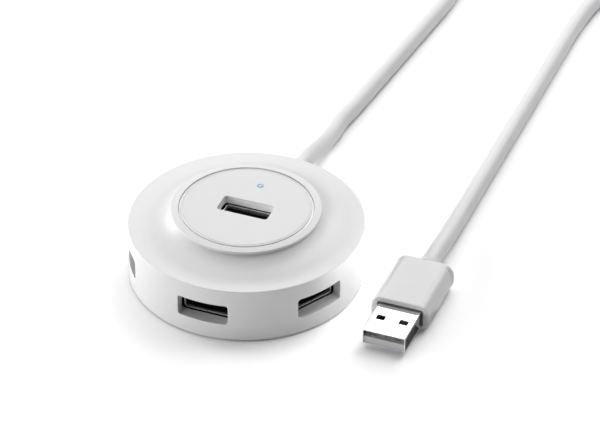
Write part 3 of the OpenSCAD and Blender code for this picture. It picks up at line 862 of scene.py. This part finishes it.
def make_plug_grip():
    bm = bmesh.new()
    turns = [math.radians(15 * i) for i in range(7)]

    def ring(shrink, y):
        return section_y(GRIP_W - 2 * shrink, GRIP_H - 2 * shrink, GRIP_CORNER - shrink, y, 12)

    def waist(shrink, y):
        return section_y(GRIP_W - 2 * shrink, GRIP_H, GRIP_CORNER, y, 12)

    def mouth(grow, y):
        return section_y(MOUTH_W + 2 * grow, MOUTH_H + 2 * grow, MOUTH_CORNER + grow, y, 12)

    mouth_floor = GRIP_Y0 + MOUTH_DEPTH
    groove_end = GRIP_Y1 - CAP_L
    groove_start = groove_end - GROOVE_W
    loops = [
        section_y(PLUG_W - 0.4, PLUG_H - 0.4, 0.3, mouth_floor, 12),
        mouth(0, mouth_floor),
        mouth(0, GRIP_Y0 + MOUTH_EDGE),
        mouth(MOUTH_EDGE / 3, GRIP_Y0 + MOUTH_EDGE / 3),
        mouth(MOUTH_EDGE, GRIP_Y0),
    ]
    loops += [ring(GRIP_EDGE * (1 - math.sin(a)), GRIP_Y0 + GRIP_EDGE * (1 - math.cos(a))) for a in turns]
    loops += [
        waist(0, groove_start - GROOVE_EDGE),
        waist(GROOVE_EDGE, groove_start),
        waist(GROOVE_DEPTH, groove_start + GROOVE_EDGE),
        waist(GROOVE_DEPTH, groove_end - GROOVE_EDGE),
        waist(GROOVE_EDGE, groove_end),
        waist(0, groove_end + GROOVE_EDGE),
    ]
    loops += [ring(GRIP_EDGE * (1 - math.cos(a)), GRIP_Y1 - GRIP_EDGE * (1 - math.sin(a))) for a in turns]
    loft(bm, loops, capped=True)
    return build("grip", bm, GRIP, ["plug_grip"])


def make_plug_boot():
    """Flare that runs smoothly out into the cable."""
    bm = bmesh.new()
    length = BOOT_END - GRIP_Y1 - 0.1
    profile = [(0, GRIP_Y1 - 0.1)]
    for i in range(BOOT_STEPS + 1):
        t = i / BOOT_STEPS
        profile.append((BOOT_TIP_R + BOOT_FLARE * (1 - t) ** BOOT_POWER, GRIP_Y1 + length * t))
    profile += [(BOOT_TIP_R - 0.06, BOOT_END), (BOOT_TIP_R - 0.22, BOOT_END)]
    lathe(bm, profile, 72, place=along_y(PLUG_X, PLUG_Z))
    return build("boot", bm, GRIP, ["plug_boot"])


def make_gland():
    """Bend relief: a flange behind the wall and a taper that the cable runs out of."""
    bm = bmesh.new()
    start = gland_low.y
    flange_end = start + GLAND_FLANGE_L
    profile = fillet([
        (0, start, 0),
        (GLAND_FLANGE_R, start, 0.2),
        (GLAND_FLANGE_R, flange_end, 0.2),
        (GLAND_R, flange_end, 0),
        (GLAND_R, HUB_R + 0.5, 1.2),
        (GLAND_TIP_R, RELIEF_END, 0.3),
        (0, RELIEF_END, 0),
    ], 6)
    lathe(bm, profile, 96, place=along_y(0, OUTLET_Z))
    return build("bend_relief", bm, CABLE, ["cable_gland"])


TIE_THICKNESS, TIE_GAP = 0.4, 0.03
TIE_TURN, TIE_HALF = 172, 4
TIE_STEPS = 8


def make_tie():
    """Band round the four strands of the bundle."""
    strands = [(TURN_R, COIL_Z), *map(round_lower_turn, (60, 120, 180))]
    strands = [Vector(strand) for strand in strands]
    middle = sum(strands, Vector((0, 0))) / len(strands)
    strands.sort(key=lambda c: math.atan2(c.y - middle.y, c.x - middle.x))

    def outline(reach):
        out = []
        for i, c in enumerate(strands):
            before, after = c - strands[i - 1], strands[(i + 1) % len(strands)] - c
            first, last = math.atan2(-before.x, before.y), math.atan2(-after.x, after.y)
            while last < first:
                last += 2 * math.pi
            for k in range(TIE_STEPS + 1):
                a = first + (last - first) * k / TIE_STEPS
                out.append((c.x + reach * math.cos(a), c.y + reach * math.sin(a)))
        return out

    def swept(reach, degrees):
        a = math.radians(degrees)
        return [(COIL_X + r * math.cos(a), COIL_Y + r * math.sin(a), z) for r, z in outline(reach)]

    bm = bmesh.new()
    inner, outer = CORD_D / 2 + TIE_GAP, CORD_D / 2 + TIE_THICKNESS
    spans = [TIE_TURN - TIE_HALF + 2 * TIE_HALF * i / TIE_STEPS for i in range(TIE_STEPS + 1)]
    loops = [swept(inner, a) for a in spans] + [swept(outer, a) for a in reversed(spans)]
    loft(bm, loops + [loops[0]])
    return build("tie", bm, TIE, ["cord_tie"])


# --- CAD nodes that are seen as they are -------------------------------------------------

PORT_SHELL_EDGE, CAD_EDGE = 0.12, 0.06
FINISHES = {
    "base_cover": moulded_plastic("base_white", (0.72, 0.72, 0.73), (0.70, 0.70, 0.71), 0.45).material,
    "foot_": plain("foot_rubber", (0.05, 0.05, 0.055), 0.8, grain_mm=0.4, depth=0.01),
    "base_screws": steel("screw_steel", (0.55, 0.55, 0.56), 0.3),
    "main_pcb": plain("board_green", (0.004, 0.016, 0.009), 0.4, grain_mm=0.8),
    "power_led": plain("led_blue", (0.55, 0.75, 0.9), 0.3),
    "port_": BLACK,
    "hub_chip": plain("chip_black", (0.02, 0.02, 0.02), 0.5),
    "crystal": steel("can_steel", (0.7, 0.7, 0.7), 0.25),
    "bulk_capacitor": steel("can_aluminium", (0.75, 0.75, 0.76), 0.3),
    "chip_capacitors": plain("ceramic_tan", (0.45, 0.32, 0.2), 0.4),
    "chip_resistors": plain("resistor_black", (0.03, 0.03, 0.03), 0.4),
    "resettable_fuses": plain("fuse_green", (0.05, 0.25, 0.09), 0.4),
    "cable_stub": CABLE,
    # The red wire is darker than its own colour: painted shade where it shows through the gap behind the
    # top port.
    "wire_red": plain("wire_red", (0.10, 0.008, 0.008), 0.5),
    "wire_white": plain("wire_white", (0.8, 0.8, 0.8), 0.35),
    "wire_green": plain("wire_green", (0.02, 0.3, 0.06), 0.35),
    "wire_black": plain("wire_black", (0.02, 0.02, 0.02), 0.35),
    "plug_insulator": plain("insulator_grey", (0.42, 0.42, 0.43), 0.45),
}


def is_port_shell(name):
    return name.startswith("port_") and name.endswith("_shell")


def finish_for(name):
    if is_port_shell(name):
        return TOP_STEEL if "_top_" in name else SIDE_STEEL
    if name.endswith("_contacts"):
        return GOLD
    for start, material in FINISHES.items():
        if name.startswith(start):
            return material
    return HOUSING


def dress_cad_nodes():
    """Gives each CAD node its material and softly broken edges."""
    for name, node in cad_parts.items():
        node.data.materials.clear()
        node.data.materials.append(finish_for(name))
        bevel = node.modifiers.new("broken edges", "BEVEL")
        bevel.width = (PORT_SHELL_EDGE if is_port_shell(name) else CAD_EDGE) * MM
        bevel.segments = 2
        bevel.limit_method = "ANGLE"
        bevel.angle_limit = math.radians(40)


make_upper_housing()
make_top_disc()
make_light_pipe()
on_cable = [make_plug_shell(), make_plug_grip(), make_plug_boot(), make_gland(), make_tie()]
dress_cad_nodes()


# --- stage -------------------------------------------------------------------------

FLOOR_HALF = 3.0
CARD_Z, CARD_GAP, CARD_REACH = 0.1, 0.3, 9
CARD_Y0, CARD_Y1 = NOSE_Y - 1, NOSE_Y + 22
WORLD_GREY, WORLD_SEEN = (0.06, 0.06, 0.06, 1), (1, 1, 1, 1)

# Soft panels round the hub: azimuth from +X towards +Y, elevation, width, height (m) and watts.
PANEL_DISTANCE = 1.1
PANEL_CENTRE = Vector((0.02, 0.03, 0))
PANELS = {
    "overhead": (0, 90, 0.7, 0.7, 2.5),
    "back_high": (66, 66, 0.6, 0.5, 3.0),
    "back": (96, 33, 1.1, 0.5, 6.2),
    "back_right": (54, 50, 0.6, 0.5, 3.0),
    "right_front": (312, 42, 0.5, 0.5, 0.4),
    "left_high": (168, 66, 0.5, 0.5, 1.9),
    "left_low": (168, 12, 0.45, 0.45, 6.8),
    "left_front_low": (204, 12, 0.6, 0.45, 6.4),
    "front_low": (240, 12, 0.45, 0.45, 3.8),
}
BOUNCE_PLACE, BOUNCE_AIM = Vector((39.5, 2, 14)), Vector((30, 2, 13))
BOUNCE_SIZE, BOUNCE_POWER = (0.044, 0.014), 0.0042


def flat_sheet(name, x0, x1, y0, y1, z, material):
    """Rectangle at height z, in metres."""
    bm = bmesh.new()
    add_face(bm, [(x0, y0, z), (x1, y0, z), (x1, y1, z), (x0, y1, z)])
    return add_object(name, as_mesh(name, bm, material))


def make_floor():
    n = Nodes("floor")
    n.set(Base_Color=(0.93, 0.93, 0.93, 1), Roughness=0.9, Specular_IOR_Level=0.1)
    floor = flat_sheet("floor", -FLOOR_HALF, FLOOR_HALF, -FLOOR_HALF, FLOOR_HALF, 0, n.material)


def make_reflected_shadow_card():
    """Black card on the floor beside the plug, a painted shadow that only reflections show, as the
    metal's dark side.
    """
    x = PLUG_X + PLUG_W / 2
    spot = [v * MM for v in (x + CARD_GAP, x + CARD_REACH, CARD_Y0, CARD_Y1, CARD_Z)]
    card = flat_sheet("reflected_shadow_card", *spot, plain("reflected_shadow_black", (0.06, 0.06, 0.06), 0.9))
    card.visible_camera = card.visible_diffuse = False
    card.visible_shadow = card.visible_transmission = False


def area_light(name, place, aim, width, height, power):
    data = bpy.data.lights.new(name, "AREA")
    data.shape = "RECTANGLE"
    data.size, data.size_y = width, height
    data.energy = power
    light = add_object(name, data)
    light.location = place
    light.rotation_euler = (place - aim).to_track_quat("Z", "Y").to_euler()
    return light


def panel(name, azimuth, elevation, width, height, power):
    a, e = math.radians(azimuth), math.radians(elevation)
    out = Vector((math.cos(a) * math.cos(e), math.sin(a) * math.cos(e), math.sin(e)))
    area_light(name, PANEL_CENTRE + out * PANEL_DISTANCE, PANEL_CENTRE, width, height, power)


def side_card():
    """Small bounce card between hub and plug that lifts the hub's right side."""
    card = area_light("side_card", BOUNCE_PLACE * MM, BOUNCE_AIM * MM, *BOUNCE_SIZE, BOUNCE_POWER)
    card.visible_camera = False


def make_world():
    """Dim grey surroundings that the camera sees as white."""
    world = bpy.data.worlds.new("world")
    bpy.context.scene.world = world
    world.use_nodes = True
    tree = world.node_tree
    background = tree.nodes["Background"]
    background.inputs["Strength"].default_value = 1
    seen = tree.nodes.new("ShaderNodeMix")
    seen.data_type = "RGBA"
    seen.inputs["A"].default_value = WORLD_GREY
    seen.inputs["B"].default_value = WORLD_SEEN
    light_path = tree.nodes.new("ShaderNodeLightPath")
    tree.links.new(light_path.outputs["Is Camera Ray"], seen.inputs["Factor"])
    tree.links.new(seen.outputs["Result"], background.inputs["Color"])


make_floor()
make_reflected_shadow_card()
make_world()
for name, values in PANELS.items():
    panel(name, *values)
side_card()
bpy.context.scene.view_settings.view_transform = "Standard"
